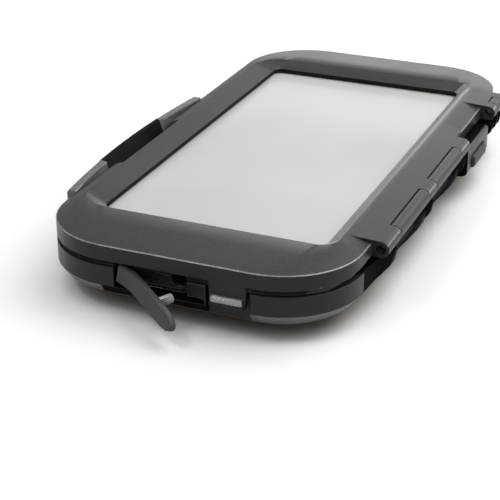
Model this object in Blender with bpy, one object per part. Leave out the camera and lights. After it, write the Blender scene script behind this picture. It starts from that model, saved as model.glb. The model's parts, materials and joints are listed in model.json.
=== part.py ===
"""Hinged waterproof hard phone case: a framed clear window over a deep back shell.

Metres, +Z up. X runs across the case, Y along it and away from the port end, and the
underside of the mounting boss rests on Z = 0 with the origin at its centre.
"""

import math

import bmesh
import bpy
from mathutils import Matrix, Vector

MM = 0.001

# Window, the rails round it and the outline that they give
WINDOW_HALF_WIDTH = 31.0 * MM
WINDOW_HALF_LENGTH = 61.0 * MM
SIDE_RAIL = 10.25 * MM
END_RAIL = 22.1 * MM
CORNER_RADIUS = 21.0 * MM
CORNER_STEPS = 10
GAP = 0.3 * MM
HALF_WIDTH = WINDOW_HALF_WIDTH + SIDE_RAIL
HALF_LENGTH = WINDOW_HALF_LENGTH + END_RAIL

# Levels, counted up from the rest plane
BOSS_HEIGHT = 3.0 * MM
FLOOR_THICKNESS = 2.2 * MM
CREASE_RISE = 4.5 * MM
SHELL_SIDE_HEIGHT = 5.3 * MM
LIP_HEIGHT = 1.3 * MM
SKIRT_HEIGHT = 4.2 * MM
CREST_RISE = 1.4 * MM
LIP_INSET = 0.45 * MM
TOP_EDGE_CHAMFER = 0.25 * MM

# Window opening and its bevel
WINDOW_RADIUS = 2.5 * MM
BEVEL_DROP = 2.0 * MM
BEVEL_WIDTH_END = 4.0 * MM
BEVEL_WIDTH_HINGE = 3.4 * MM
BEVEL_WIDTH_LATCH = 6.5 * MM
BEVEL_RADIUS_HINGE = 5.0 * MM
BEVEL_RADIUS_LATCH = 9.5 * MM
SHOULDER_SHARE = 0.62
SHOULDER_RISE = 0.74
WINDOW_STEP = 1.5 * MM
MEMBRANE_THICKNESS = 0.6 * MM
MEMBRANE_MARGIN = 3.6 * MM

# Phone space, wall and seal
SIDE_WALL = 6.25 * MM
END_WALL = 12.3 * MM
CAVITY_RADIUS = 9.0 * MM
CAVITY_HALF_WIDTH = HALF_WIDTH - SIDE_WALL
CAVITY_HALF_LENGTH = HALF_LENGTH - END_WALL
INNER_WALL_RISE = 2.8 * MM
INNER_WALL_RADIUS = 20.5 * MM
SKIRT_THICKNESS = 2.2 * MM
GROOVE_OFFSET = 0.9 * MM
GROOVE_WIDTH = 2.1 * MM
GROOVE_DEPTH = 1.1 * MM
PAD_THICKNESS = 2.6 * MM
PAD_INSET = 1.6 * MM
BUMPER_THICKNESS = 1.0 * MM
BUMPER_LENGTH = 12.0 * MM

# Hinge
BARREL_RADIUS = 2.2 * MM
PIN_HOLE_RADIUS = 1.3 * MM
PIN_RADIUS = 1.0 * MM
PIN_RECESS = 3.2 * MM
BARREL_OVERHANG = 2.5 * MM
BARREL_BELOW_CREST = 2.7 * MM
LONG_BARREL_FROM_END = 26.5 * MM
LONG_BARREL = (10.3 * MM, 25.3 * MM, 7.0 * MM, 25.3 * MM, 8.0 * MM)
SHORT_BARREL_FROM_END = 35.1 * MM
SHORT_BARREL = (3.6 * MM, 5.6 * MM, 3.8 * MM)
RAIL_INSIDE = 1.4 * MM
RAIL_TAIL = 5.4 * MM
RAIL_TAIL_RAKE = 0.72
ARM_PROUD = 0.3 * MM
RELIEF_RISE = 1.9 * MM
RELIEF_RUN = 8.0 * MM
RELIEF_END = 9.0 * MM
SCALLOP_REACH = 4.0 * MM
SCALLOP_FOOT = 0.7 * MM
SCALLOP_LONGEST = 16.0 * MM
GUARD_REACH = 4.05 * MM
GUARD_RISE = 2.7 * MM
GUARD_NEAR_GAP = 0.9 * MM
GUARD_FAR_GAP = 5.0 * MM

# Latch
LATCH_FROM_END = 25.1 * MM
BAR_LENGTH = 22.0 * MM
BAR_WIDTH = 2.7 * MM
TAB_LENGTH = 36.0 * MM
LATCH_BOW = 2.6 * MM
LATCH_OUTER = 2.2 * MM
LATCH_CLEARANCE = 0.45 * MM
LATCH_PIVOT_OUT = 1.95 * MM
LATCH_PIVOT_UP = 0.4 * MM
LATCH_KNUCKLE_RADIUS = 1.5 * MM
LATCH_PIN_RADIUS = 0.8 * MM
EAR_THICKNESS = 2.3 * MM
EAR_RADIUS = 2.0 * MM

# Port pocket, liner and flap
POCKET_LEFT = -16.6 * MM
POCKET_RIGHT = 3.5 * MM
POCKET_DEPTH = 4.0 * MM
POCKET_FLOOR_UP = 0.1 * MM
LINER_THICKNESS = 1.1 * MM
PORT_X = 0.0 * MM
PORT_BELOW_SKIRT = 2.4 * MM
PORT_RADIUS = 1.7 * MM
PORT_MOUTH_RADIUS = 2.6 * MM
FLAP_LENGTH = 24.0 * MM
FLAP_HEIGHT = 5.0 * MM
FLAP_THICKNESS = 2.0 * MM
FLAP_ROOT_RADIUS = 1.55 * MM
FLAP_ROOT_INSET = 0.7 * MM
FLAP_OPEN_DEG = 25.5
FLAP_ROOT_HEADING_DEG = -12.5
FLAP_BEND_DEG = 23.0
FLAP_DROOP = 0.8 * MM
FLAP_AXIS = Vector((0.0, -0.485, 0.8746)).normalized()
PEG_RADIUS = 1.2 * MM
PEG_LENGTH = 3.8 * MM
NUB_RADIUS = 0.6 * MM
NOTCH_RIGHT = 8.2 * MM
NOTCH_HEIGHT = 1.5 * MM

# Snap tab
TAB_LEFT = 9.1 * MM
TAB_RIGHT = 18.9 * MM
TAB_TAPER = 0.5 * MM
TAB_THICKNESS = 1.5 * MM
TAB_DROP = 6.2 * MM
TAB_SLOT_LEFT = 0.7 * MM
TAB_SLOT_RIGHT = 1.0 * MM
BEAD_HEIGHT = 2.8 * MM
BEAD_REACH = 0.85 * MM

# Buttons
BUTTON_HEIGHT = 4.0 * MM
BUTTON_LENGTH = 14.0 * MM
VOLUME_FROM_LATCH = 11.0 * MM
VOLUME_SPACING = 17.0 * MM
BUTTON_PROUD = 1.0 * MM
BUTTON_FLANGE = 1.2 * MM
BUTTON_SEAT = 2.6 * MM

# Back
BOSS_HALF_WIDTH = 24.0 * MM
BOSS_HALF_LENGTH = 28.0 * MM
INSERT_SPACING_X = 30.0 * MM
INSERT_SPACING_Y = 38.0 * MM
INSERT_RADIUS = 2.3 * MM
INSERT_BORE = 1.25 * MM
INSERT_LENGTH = 4.0 * MM
CAMERA_FROM_SIDE = 16.0 * MM
CAMERA_FROM_END = 15.8 * MM
CAMERA_HALF_WIDTH = 11.0 * MM
CAMERA_HALF_LENGTH = 6.0 * MM
CAMERA_REBATE = 1.5 * MM

# Levels that follow from the sizes above
SHELL_BOTTOM = BOSS_HEIGHT
FLOOR_TOP = SHELL_BOTTOM + FLOOR_THICKNESS
CREASE_Z = SHELL_BOTTOM + CREASE_RISE
RIM_Z = CREASE_Z + SHELL_SIDE_HEIGHT
LIP_Z = RIM_Z + GAP
SKIRT_Z = LIP_Z + LIP_HEIGHT
TOP_EDGE_Z = SKIRT_Z + SKIRT_HEIGHT
CREST_Z = TOP_EDGE_Z + CREST_RISE
BEVEL_Z = CREST_Z - BEVEL_DROP
MEMBRANE_TOP = BEVEL_Z - WINDOW_STEP
WALL_TOP = RIM_Z + INNER_WALL_RISE
FRAME_UNDER_Z = MEMBRANE_TOP - 0.2 * MM
AXIS_X = HALF_WIDTH + BARREL_OVERHANG
AXIS_Z = CREST_Z - BARREL_BELOW_CREST
RUN_RADIUS = BARREL_RADIUS + GAP
FRONT_Y = -HALF_LENGTH
LONG_BARREL_START = -HALF_LENGTH + LONG_BARREL_FROM_END
LONG_BARREL_END = LONG_BARREL_START + sum(LONG_BARREL)
SHORT_BARREL_START = HALF_LENGTH - SHORT_BARREL_FROM_END
GUARD_START = LONG_BARREL_END + GUARD_NEAR_GAP
GUARD_END = SHORT_BARREL_START - GUARD_FAR_GAP
LATCH_START = -HALF_LENGTH + LATCH_FROM_END
LATCH_END = LATCH_START + 2 * BAR_LENGTH + TAB_LENGTH
LATCH_FACE = -(HALF_WIDTH + LATCH_OUTER - BAR_WIDTH - GAP)
PIVOT_X = -(HALF_WIDTH + LATCH_PIVOT_OUT)
PIVOT_Z = CREASE_Z + LATCH_PIVOT_UP
PORT_Z = SKIRT_Z - PORT_BELOW_SKIRT
POCKET_BACK = FRONT_Y + POCKET_DEPTH
POCKET_FLOOR = CREASE_Z + POCKET_FLOOR_UP
BUTTON_Z = (CREASE_Z + RIM_Z) / 2
CAMERA_X = CAVITY_HALF_WIDTH - CAMERA_FROM_SIDE
CAMERA_Y = CAVITY_HALF_LENGTH - CAMERA_FROM_END

parts = None
helpers = None


def clear_scene():
    for obj in list(bpy.data.objects):
        bpy.data.objects.remove(obj, do_unlink=True)


def new_collection(name):
    made = bpy.data.collections.new(name)
    bpy.context.scene.collection.children.link(made)
    return made


def material(name, color, roughness, metallic=0.0, alpha=1.0):
    found = bpy.data.materials.get(name)
    if found:
        return found
    made = bpy.data.materials.new(name)
    made.use_nodes = True
    shader = made.node_tree.nodes["Principled BSDF"]
    shader.inputs["Base Color"].default_value = (*color, 1.0)
    shader.inputs["Roughness"].default_value = roughness
    shader.inputs["Metallic"].default_value = metallic
    shader.inputs["Alpha"].default_value = alpha
    return made


def place(name, mesh, finish=None):
    """An object of the mesh: a named part with its finish, or a helper without one."""
    obj = bpy.data.objects.new(name, mesh)
    if finish is None:
        obj.hide_render = True
        obj.display_type = "WIRE"
        helpers.objects.link(obj)
    else:
        obj.data.materials.append(finish)
        parts.objects.link(obj)
    return obj


def smooth(obj, angle=35):
    obj.data.shade_smooth()
    obj.data.set_sharp_from_angle(angle=math.radians(angle))


def loft(name, loops, ring=False, finish=None):
    """Joins equal loops of points by quads, closing the ends or joining last to first."""
    bm = bmesh.new()
    rows = [[bm.verts.new(point) for point in loop] for loop in loops]
    count = len(rows[0])
    pairs = list(zip(rows, rows[1:])) + ([(rows[-1], rows[0])] if ring else [])
    for low, high in pairs:
        for i in range(count):
            j = (i + 1) % count
            bm.faces.new((low[i], low[j], high[j], high[i]))
    if not ring:
        bm.faces.new(list(reversed(rows[0])))
        bm.faces.new(rows[-1])
    bmesh.ops.recalc_face_normals(bm, faces=bm.faces)
    mesh = bpy.data.meshes.new(name)
    bm.to_mesh(mesh)
    bm.free()
    return place(name, mesh, finish)


def outline(half_x, half_y, radius, z, centre=(0.0, 0.0), steps=CORNER_STEPS):
    """A rounded rectangle at height z, anticlockwise from the +X -Y corner.

    The radius is one number, or one for the +X corners and one for the -X corners.
    """
    right, left = radius if isinstance(radius, tuple) else (radius, radius)
    corners = ((1, -1, -90, right), (1, 1, 0, right), (-1, 1, 90, left), (-1, -1, 180, left))
    points = []
    for sx, sy, turn, r in corners:
        cx = centre[0] + sx * (half_x - r)
        cy = centre[1] + sy * (half_y - r)
        for i in range(steps + 1):
            angle = math.radians(turn + 90 * i / steps)
            points.append(Vector((cx + r * math.cos(angle), cy + r * math.sin(angle), z)))
    return points


def inset(distance, z):
    """The case's own outline, drawn in by a distance."""
    return outline(HALF_WIDTH - distance, HALF_LENGTH - distance, CORNER_RADIUS - distance, z)


def plate(name, half_x, half_y, radius, z_low, z_high, centre=(0.0, 0.0), steps=4, finish=None):
    loops = [outline(half_x, half_y, radius, z, centre, steps) for z in (z_low, z_high)]
    return loft(name, loops, finish=finish)


def band(name, outer, inner, z_low, z_high, steps=6, finish=None):
    """A flat ring between two rounded rectangles, each given as half sizes and radius."""
    loops = [
        outline(*outer, z_low, steps=steps),
        outline(*outer, z_high, steps=steps),
        outline(*inner, z_high, steps=steps),
        outline(*inner, z_low, steps=steps),
    ]
    return loft(name, loops, ring=True, finish=finish)


def prism(name, profile, axis, start, end, finish=None):
    """A flat profile drawn along an axis: (y, z) along X, (x, z) along Y or (x, y) along Z."""
    order = {"X": (2, 0, 1), "Y": (0, 2, 1), "Z": (0, 1, 2)}[axis]
    loops = []
    for at in (start, end):
        loops.append([Vector([(p[0], p[1], at)[k] for k in order]) for p in profile])
    return loft(name, loops, finish=finish)


def box(name, low, high):
    bm = bmesh.new()
    size = [b - a for a, b in zip(low, high)]
    centre = [(a + b) / 2 for a, b in zip(low, high)]
    matrix = Matrix.Translation(centre) @ Matrix.Diagonal((*size, 1.0))
    bmesh.ops.create_cube(bm, size=1.0, matrix=matrix)
    mesh = bpy.data.meshes.new(name)
    bm.to_mesh(mesh)
    bm.free()
    return place(name, mesh)


def rod(name, radius, start, end, steps=20, finish=None, end_radius=None):
    """A round bar between two points, tapered where its end has another radius."""
    start, end = Vector(start), Vector(end)
    along = end - start
    turn = Vector((0, 0, 1)).rotation_difference(along).to_matrix().to_4x4()
    matrix = Matrix.Translation((start + end) / 2) @ turn
    bm = bmesh.new()
    bmesh.ops.create_cone(
        bm,
        cap_ends=True,
        segments=steps,
        radius1=radius,
        radius2=radius if end_radius is None else end_radius,
        depth=along.length,
        matrix=matrix,
    )
    mesh = bpy.data.meshes.new(name)
    bm.to_mesh(mesh)
    bm.free()
    made = place(name, mesh, finish)
    smooth(made)
    return made


def combine(target, tools, operation):
    for tool in tools:
        modifier = target.modifiers.new(f"{operation.lower()} {tool.name}", "BOOLEAN")
        modifier.operation = operation
        modifier.solver = "EXACT"
        modifier.object = tool
    return target


def cut(target, *tools):
    return combine(target, tools, "DIFFERENCE")


def join(target, *tools):
    return combine(target, tools, "UNION")


def knuckles(start, lengths):
    """The (start, end) of each knuckle along a barrel; the frame has the even ones."""
    spans, at = [], start
    for length in lengths:
        spans.append((at, at + length))
        at += length
    return spans


def axis_rod(name, radius, start, end, steps=24, finish=None):
    return rod(name, radius, (AXIS_X, start, AXIS_Z), (AXIS_X, end, AXIS_Z), steps, finish)


def front_frame(finish):
    """The window frame: bevelled ring, hinge rails, latch recess and snap tab."""
    crest_half = WINDOW_HALF_WIDTH + (BEVEL_WIDTH_HINGE + BEVEL_WIDTH_LATCH) / 2
    crest_centre = ((BEVEL_WIDTH_HINGE - BEVEL_WIDTH_LATCH) / 2, 0.0)
    crest_length = WINDOW_HALF_LENGTH + BEVEL_WIDTH_END
    crest_radii = (BEVEL_RADIUS_HINGE, BEVEL_RADIUS_LATCH)
    share = SHOULDER_SHARE
    shoulder_half = HALF_WIDTH + (crest_half - HALF_WIDTH) * share
    shoulder_length = HALF_LENGTH + (crest_length - HALF_LENGTH) * share
    shoulder_radii = tuple(CORNER_RADIUS + (r - CORNER_RADIUS) * share for r in crest_radii)
    shoulder_centre = (crest_centre[0] * share, 0.0)
    shoulder_z = TOP_EDGE_Z + SHOULDER_RISE * CREST_RISE
    window = (WINDOW_HALF_WIDTH, WINDOW_HALF_LENGTH, WINDOW_RADIUS)
    rebate = MEMBRANE_MARGIN + GAP
    rebated = (WINDOW_HALF_WIDTH + rebate, WINDOW_HALF_LENGTH + rebate, WINDOW_RADIUS + rebate / 2)
    loops = [
        inset(LIP_INSET, LIP_Z),
        inset(LIP_INSET, SKIRT_Z),
        inset(0, SKIRT_Z),
        inset(0, TOP_EDGE_Z - TOP_EDGE_CHAMFER),
        inset(TOP_EDGE_CHAMFER, TOP_EDGE_Z),
        outline(shoulder_half, shoulder_length, shoulder_radii, shoulder_z, shoulder_centre),
        outline(crest_half, crest_length, crest_radii, CREST_Z, crest_centre),
        outline(*window, BEVEL_Z),
        outline(*window, MEMBRANE_TOP + GAP),
        outline(*rebated, MEMBRANE_TOP + GAP),
        outline(*rebated, FRAME_UNDER_Z),
        inset(SKIRT_THICKNESS, FRAME_UNDER_Z),
        inset(SKIRT_THICKNESS, LIP_Z),
    ]
    frame = loft("front_frame", loops, ring=True, finish=finish)
    rise_x = WINDOW_HALF_WIDTH + BEVEL_WIDTH_HINGE + RAIL_INSIDE
    join(frame, rail_tail(rise_x))
    for label, start, lengths in (
        ("long", LONG_BARREL_START, LONG_BARREL),
        ("short", SHORT_BARREL_START, SHORT_BARREL),
    ):
        spans = knuckles(start, lengths)
        end = spans[-1][1]
        rail = [
            (rise_x, TOP_EDGE_Z),
            (rise_x, CREST_Z - 0.15 * MM),
            (AXIS_X, AXIS_Z + BARREL_RADIUS),
            (AXIS_X, AXIS_Z - BARREL_RADIUS),
            (HALF_WIDTH, AXIS_Z - BARREL_RADIUS),
            (HALF_WIDTH - SKIRT_THICKNESS / 2, FRAME_UNDER_Z + GAP),
        ]
        join(frame, prism(f"{label}_rail", rail, "Y", start, end))
        join(frame, axis_rod(f"{label}_barrel", BARREL_RADIUS, start + 0.02 * MM, end - 0.02 * MM))
        for i, (low, high) in enumerate(spans[1::2]):
            cut(frame, axis_rod(f"{label}_notch_{i}", RUN_RADIUS, low, high))
            under = ((HALF_WIDTH, low, LIP_Z - MM), (AXIS_X + 2 * RUN_RADIUS, high, AXIS_Z))
            cut(frame, box(f"{label}_under_{i}", *under))
        cut(frame, axis_rod(f"{label}_frame_bore", PIN_HOLE_RADIUS, start - MM, end + MM, 16))
    relief = [
        (-HALF_LENGTH + RELIEF_END, LIP_Z - MM),
        (-HALF_LENGTH + RELIEF_END, LIP_Z),
        (-HALF_LENGTH + RELIEF_END + RELIEF_RUN, LIP_Z + RELIEF_RISE),
        (HALF_LENGTH - RELIEF_END - RELIEF_RUN, LIP_Z + RELIEF_RISE),
        (HALF_LENGTH - RELIEF_END, LIP_Z),
        (HALF_LENGTH - RELIEF_END, LIP_Z - MM),
    ]
    depth = (HALF_WIDTH - CORNER_RADIUS / 2, AXIS_X - RUN_RADIUS)
    cut(frame, prism("hinge_relief", relief, "X", *depth))
    cut(frame, *latch_recess(), *lid_openings())
    join(frame, *snap_tab())
    smooth(frame)
    return frame


def rail_tail(rise_x):
    """The far end of the long hinge rail, cut off at a rake past the barrel."""
    outer = HALF_WIDTH + GAP
    section = [
        (rise_x, TOP_EDGE_Z),
        (rise_x, CREST_Z - 0.2 * MM),
        (outer, AXIS_Z + BARREL_RADIUS - 0.1 * MM),
        (outer, AXIS_Z + 0.1 * MM),
        (HALF_WIDTH - SKIRT_THICKNESS / 2, FRAME_UNDER_Z + 2 * GAP),
    ]
    start = [Vector((x, LONG_BARREL_END - MM, z)) for x, z in section]
    far = LONG_BARREL_END + RAIL_TAIL
    end = [Vector((x, far + RAIL_TAIL_RAKE * (outer - x), z)) for x, z in section]
    return loft("rail_tail", [start, end])


def latch_recess():
    """The step that the latch bars stand in, and the finger scoop beside its pull tab."""
    face = LATCH_FACE
    low, high = LATCH_START - 2 * GAP, LATCH_END + 2 * GAP
    step = box("latch_step", (face - 5 * MM, low, LIP_Z - MM), (face, high, CREST_Z + MM))
    ridge = -(WINDOW_HALF_WIDTH + BEVEL_WIDTH_LATCH + GAP)
    floor = BEVEL_Z - 0.8 * MM
    scoop = [
        (ridge, CREST_Z + MM),
        (ridge, CREST_Z - 0.3 * MM),
        (face + 0.1 * MM, floor),
        (face - MM, floor),
        (face - MM, CREST_Z + MM),
    ]
    start = LATCH_START + BAR_LENGTH
    return step, prism("finger_scoop", scoop, "Y", start, start + TAB_LENGTH)


def lid_openings():
    """The lip is left out over the port pocket, and the end rails are cored from below."""
    lip = box(
        "pocket_lip",
        (POCKET_LEFT, FRONT_Y - MM, LIP_Z - MM),
        (POCKET_RIGHT, FRONT_Y + SKIRT_THICKNESS + MM, SKIRT_Z),
    )
    cores = []
    reach = HALF_LENGTH - SKIRT_THICKNESS - 1.2 * MM
    inner = CAVITY_HALF_LENGTH + GROOVE_OFFSET + GROOVE_WIDTH + 0.9 * MM
    for side, ys in (("near", (-reach, -inner)), ("far", (inner, reach))):
        for label, xs in (("left", (-20 * MM, -1.2 * MM)), ("right", (1.2 * MM, 20 * MM))):
            low = (xs[0], ys[0], FRAME_UNDER_Z - MM)
            high = (xs[1], ys[1], FRAME_UNDER_Z + 1.3 * MM)
            cores.append(box(f"lid_core_{side}_{label}", low, high))
    return (lip, *cores)


def snap_tab():
    """The tab that hangs from the skirt, with a finger bead along its foot."""
    top = SKIRT_Z + MM
    foot = SKIRT_Z - TAB_DROP
    sides = [
        (TAB_LEFT, top),
        (TAB_LEFT, RIM_Z),
        (TAB_LEFT + TAB_TAPER, foot),
        (TAB_RIGHT - TAB_TAPER, foot),
        (TAB_RIGHT, foot + BEAD_HEIGHT),
        (TAB_RIGHT, top),
    ]
    blade = prism("tab_blade", sides, "Y", FRONT_Y + 0.01 * MM, FRONT_Y + TAB_THICKNESS)
    rear = FRONT_Y + TAB_THICKNESS / 2
    ledge = foot + BEAD_HEIGHT
    bead = [
        (rear, ledge + 0.2 * MM),
        (FRONT_Y, ledge + 0.1 * MM),
        (FRONT_Y - 0.7 * BEAD_REACH, ledge - 0.15 * MM),
        (FRONT_Y - BEAD_REACH, ledge - 0.6 * MM),
        (FRONT_Y - 0.8 * BEAD_REACH, ledge - 1.1 * MM),
        (FRONT_Y - 0.25 * BEAD_REACH, ledge - 1.25 * MM),
        (FRONT_Y - 0.25 * BEAD_REACH, ledge - 1.6 * MM),
        (FRONT_Y - 0.8 * BEAD_REACH, ledge - 1.75 * MM),
        (FRONT_Y - 0.8 * BEAD_REACH, foot + 0.4 * MM),
        (FRONT_Y - 0.4 * BEAD_REACH, foot + 0.02 * MM),
        (rear, foot + 0.02 * MM),
    ]
    start = TAB_LEFT + TAB_TAPER + 0.02 * MM
    return blade, prism("tab_bead", bead, "X", start, TAB_RIGHT - TAB_TAPER)


def scallop_outline():
    """Plan outline of the bracket under the hinge: one wave to each knuckle."""
    root, foot = HALF_WIDTH - 2 * MM, HALF_WIDTH + SCALLOP_FOOT
    wave = SCALLOP_REACH - SCALLOP_FOOT
    points = [
        (root, LONG_BARREL_START - 6 * MM),
        (HALF_WIDTH - 0.2 * MM, LONG_BARREL_START - 6 * MM),
    ]
    for at, lengths in ((LONG_BARREL_START, LONG_BARREL), (SHORT_BARREL_START, SHORT_BARREL)):
        for low, high in knuckles(at, lengths):
            length = min(high - low, SCALLOP_LONGEST)
            for i in range(6):
                t = i / 5
                rise = t * t * (3 - 2 * t)
                points.append((foot + wave * rise, high - length + 0.86 * length * t))
            points.append((foot + 0.92 * wave, high - 0.06 * length))
            points.append((foot + 0.6 * wave, high - 0.01 * length))
        points.append((foot, high + 0.8 * MM))
    points.append((root, high + 3 * MM))
    return points


def hinge_bracket():
    """The scalloped wall below the barrel and the arms that rise from it to the knuckles."""
    plan = prism("bracket_plan", scallop_outline(), "Z", SHELL_BOTTOM, AXIS_Z)
    reach = HALF_WIDTH + SCALLOP_REACH
    side = [
        (HALF_WIDTH - 3 * MM, CREASE_Z - 1.2 * MM),
        (HALF_WIDTH - 0.4 * MM, CREASE_Z - 0.6 * MM),
        (reach - 1.9 * MM, CREASE_Z + 1.6 * MM),
        (reach - 0.7 * MM, CREASE_Z + 2.9 * MM),
        (reach, RIM_Z + 1.0 * MM),
        (reach, RIM_Z + 1.4 * MM),
        (HALF_WIDTH - 3 * MM, RIM_Z - 0.03 * MM),
    ]
    start, end = LONG_BARREL_START - 7 * MM, SHORT_BARREL_START + sum(SHORT_BARREL) + 5 * MM
    wall = prism("bracket_side", side, "Y", start, end)
    combine(wall, [plan], "INTERSECT")
    tools = [wall]
    for label, at, lengths in (
        ("long", LONG_BARREL_START, LONG_BARREL),
        ("short", SHORT_BARREL_START, SHORT_BARREL),
    ):
        for i, (low, high) in enumerate(knuckles(at, lengths)[1::2]):
            low, high = low + GAP, high - GAP
            tools.append(axis_rod(f"{label}_knuckle_{i}", BARREL_RADIUS, low, high))
            arm = [
                (HALF_WIDTH + 2 * GAP, RIM_Z - MM),
                (AXIS_X + ARM_PROUD, RIM_Z - MM),
                (AXIS_X + ARM_PROUD, AXIS_Z - 0.5 * BARREL_RADIUS),
                (AXIS_X, AXIS_Z),
                (AXIS_X - 0.6 * BARREL_RADIUS, AXIS_Z - 0.5 * BARREL_RADIUS),
            ]
            tools.append(prism(f"{label}_arm_{i}", arm, "Y", low + 0.02 * MM, high - 0.02 * MM))
    return tools


def button_guard():
    """The block between the two barrels that the power button stands in."""
    face, top = HALF_WIDTH + GUARD_REACH, RIM_Z + GUARD_RISE
    side = [
        (HALF_WIDTH - 3 * MM, CREASE_Z - 1.1 * MM),
        (HALF_WIDTH - 0.4 * MM, CREASE_Z - 0.7 * MM),
        (face - 1.4 * MM, CREASE_Z - 0.4 * MM),
        (face - 0.4 * MM, CREASE_Z + 0.1 * MM),
        (face, CREASE_Z + 0.9 * MM),
        (face, top - 0.8 * MM),
        (face - 0.3 * MM, top - 0.2 * MM),
        (face - 0.8 * MM, top),
        (HALF_WIDTH + 2 * GAP, top),
        (HALF_WIDTH + 2 * GAP, RIM_Z - 0.02 * MM),
        (HALF_WIDTH - 3 * MM, RIM_Z - 0.02 * MM),
    ]
    return prism("button_guard", side, "Y", GUARD_START, GUARD_END)


def hinge_clearances():
    """Room in the shell for the frame's knuckles, and the bore for each pin."""
    tools = []
    for label, at, lengths in (
        ("long", LONG_BARREL_START, LONG_BARREL),
        ("short", SHORT_BARREL_START, SHORT_BARREL),
    ):
        spans = knuckles(at, lengths)
        for i, (low, high) in enumerate(spans[::2]):
            tools.append(axis_rod(f"{label}_run_{i}", RUN_RADIUS, low - GAP, high))
            corner = (HALF_WIDTH - MM, low - GAP, AXIS_Z - RUN_RADIUS)
            opposite = (AXIS_X + 3 * RUN_RADIUS, high, AXIS_Z + RUN_RADIUS)
            tools.append(box(f"{label}_clear_{i}", corner, opposite))
        bore = (f"{label}_shell_bore", PIN_HOLE_RADIUS, spans[0][0] - MM, spans[-1][1] + MM, 16)
        tools.append(axis_rod(*bore))
    return tools


def back_shell(finish):
    """The tub: rounded underside, phone space, seal groove, hinge bracket and latch ears."""
    loops = [
        inset(7.5 * MM, SHELL_BOTTOM),
        inset(4.2 * MM, SHELL_BOTTOM + 0.4 * MM),
        inset(1.6 * MM, SHELL_BOTTOM + 0.47 * CREASE_RISE),
        inset(0, CREASE_Z),
        inset(0, RIM_Z),
        inset(SKIRT_THICKNESS + GAP, RIM_Z),
    ]
    wall = SKIRT_THICKNESS + GAP
    wall_outline = (HALF_WIDTH - wall, HALF_LENGTH - wall, INNER_WALL_RADIUS)
    loops += [outline(*wall_outline, RIM_Z + 0.01 * MM), outline(*wall_outline, WALL_TOP)]
    shell = loft("back_shell", loops, finish=finish)
    boss = plate("boss", BOSS_HALF_WIDTH, BOSS_HALF_LENGTH, 5 * MM, 0, SHELL_BOTTOM + MM, steps=5)
    join(shell, boss, *hinge_bracket(), button_guard(), *latch_ears())
    cavity = [
        outline(CAVITY_HALF_WIDTH, CAVITY_HALF_LENGTH, CAVITY_RADIUS, z, steps=6)
        for z in (FLOOR_TOP, WALL_TOP + MM)
    ]
    groove = band("seal_groove", *groove_rings(0), WALL_TOP - GROOVE_DEPTH, WALL_TOP + MM)
    cut(shell, loft("cavity", cavity), groove)
    cut(shell, *hinge_clearances(), *port_cuts(), *back_cuts(), *button_cuts(), *shell_cores())
    smooth(shell)
    return shell


def groove_rings(play):
    """Outer and inner rounded rectangles of the seal groove, each drawn in by the play."""
    rings = []
    for offset, sign in ((GROOVE_OFFSET + GROOVE_WIDTH, -1), (GROOVE_OFFSET, 1)):
        grow = offset + sign * play
        rings.append((CAVITY_HALF_WIDTH + grow, CAVITY_HALF_LENGTH + grow, CAVITY_RADIUS + grow))
    return rings


def latch_ears():
    tools = []
    for label, y in (("near", LATCH_START - EAR_THICKNESS - GAP), ("far", LATCH_END + GAP)):
        hub = (PIVOT_X, PIVOT_Z)
        root = -HALF_WIDTH + 1.5 * MM
        profile = [(root, CREASE_Z + 4 * MM), (root, CREASE_Z - MM)]
        for i in range(9):
            angle = math.radians(250 - 22.5 * i)
            across, up = EAR_RADIUS * math.cos(angle), EAR_RADIUS * math.sin(angle)
            profile.append((hub[0] + across, hub[1] + up))
        tools.append(prism(f"ear_{label}", profile, "Y", y, y + EAR_THICKNESS))
    return tools


def port_cuts():
    """The pocket for the flap, the plug hole behind it, the finger notch and the tab slot."""
    corner = (POCKET_LEFT, FRONT_Y - MM, POCKET_FLOOR)
    cuts = [box("pocket", corner, (POCKET_RIGHT, POCKET_BACK, SKIRT_Z + MM))]
    way = ((PORT_X, POCKET_BACK - MM, PORT_Z), (PORT_X, -CAVITY_HALF_LENGTH + MM, PORT_Z))
    cuts.append(rod("port_way", PORT_RADIUS + 2 * GAP, *way))
    notch = [(POCKET_RIGHT - MM, POCKET_FLOOR), (NOTCH_RIGHT, POCKET_FLOOR)]
    for i in range(1, 6):
        angle = math.radians(18 * i)
        x = NOTCH_RIGHT - NOTCH_HEIGHT + NOTCH_HEIGHT * math.cos(angle)
        notch.append((x, POCKET_FLOOR + NOTCH_HEIGHT * math.sin(angle)))
    notch.append((POCKET_RIGHT - MM, POCKET_FLOOR + NOTCH_HEIGHT))
    cuts.append(prism("finger_notch", notch, "Y", FRONT_Y - MM, POCKET_BACK - GAP))
    low = (TAB_LEFT - TAB_SLOT_LEFT, FRONT_Y - 2 * MM, -MM)
    high = (TAB_RIGHT + TAB_SLOT_RIGHT, FRONT_Y + TAB_THICKNESS + GAP, RIM_Z + 4 * GAP)
    cuts.append(box("tab_slot", low, high))
    bore = ((PIVOT_X, LATCH_START - 5 * MM, PIVOT_Z), (PIVOT_X, LATCH_END + 5 * MM, PIVOT_Z))
    cuts.append(rod("latch_bore", LATCH_PIN_RADIUS + GAP, *bore, 16))
    return cuts


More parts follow.
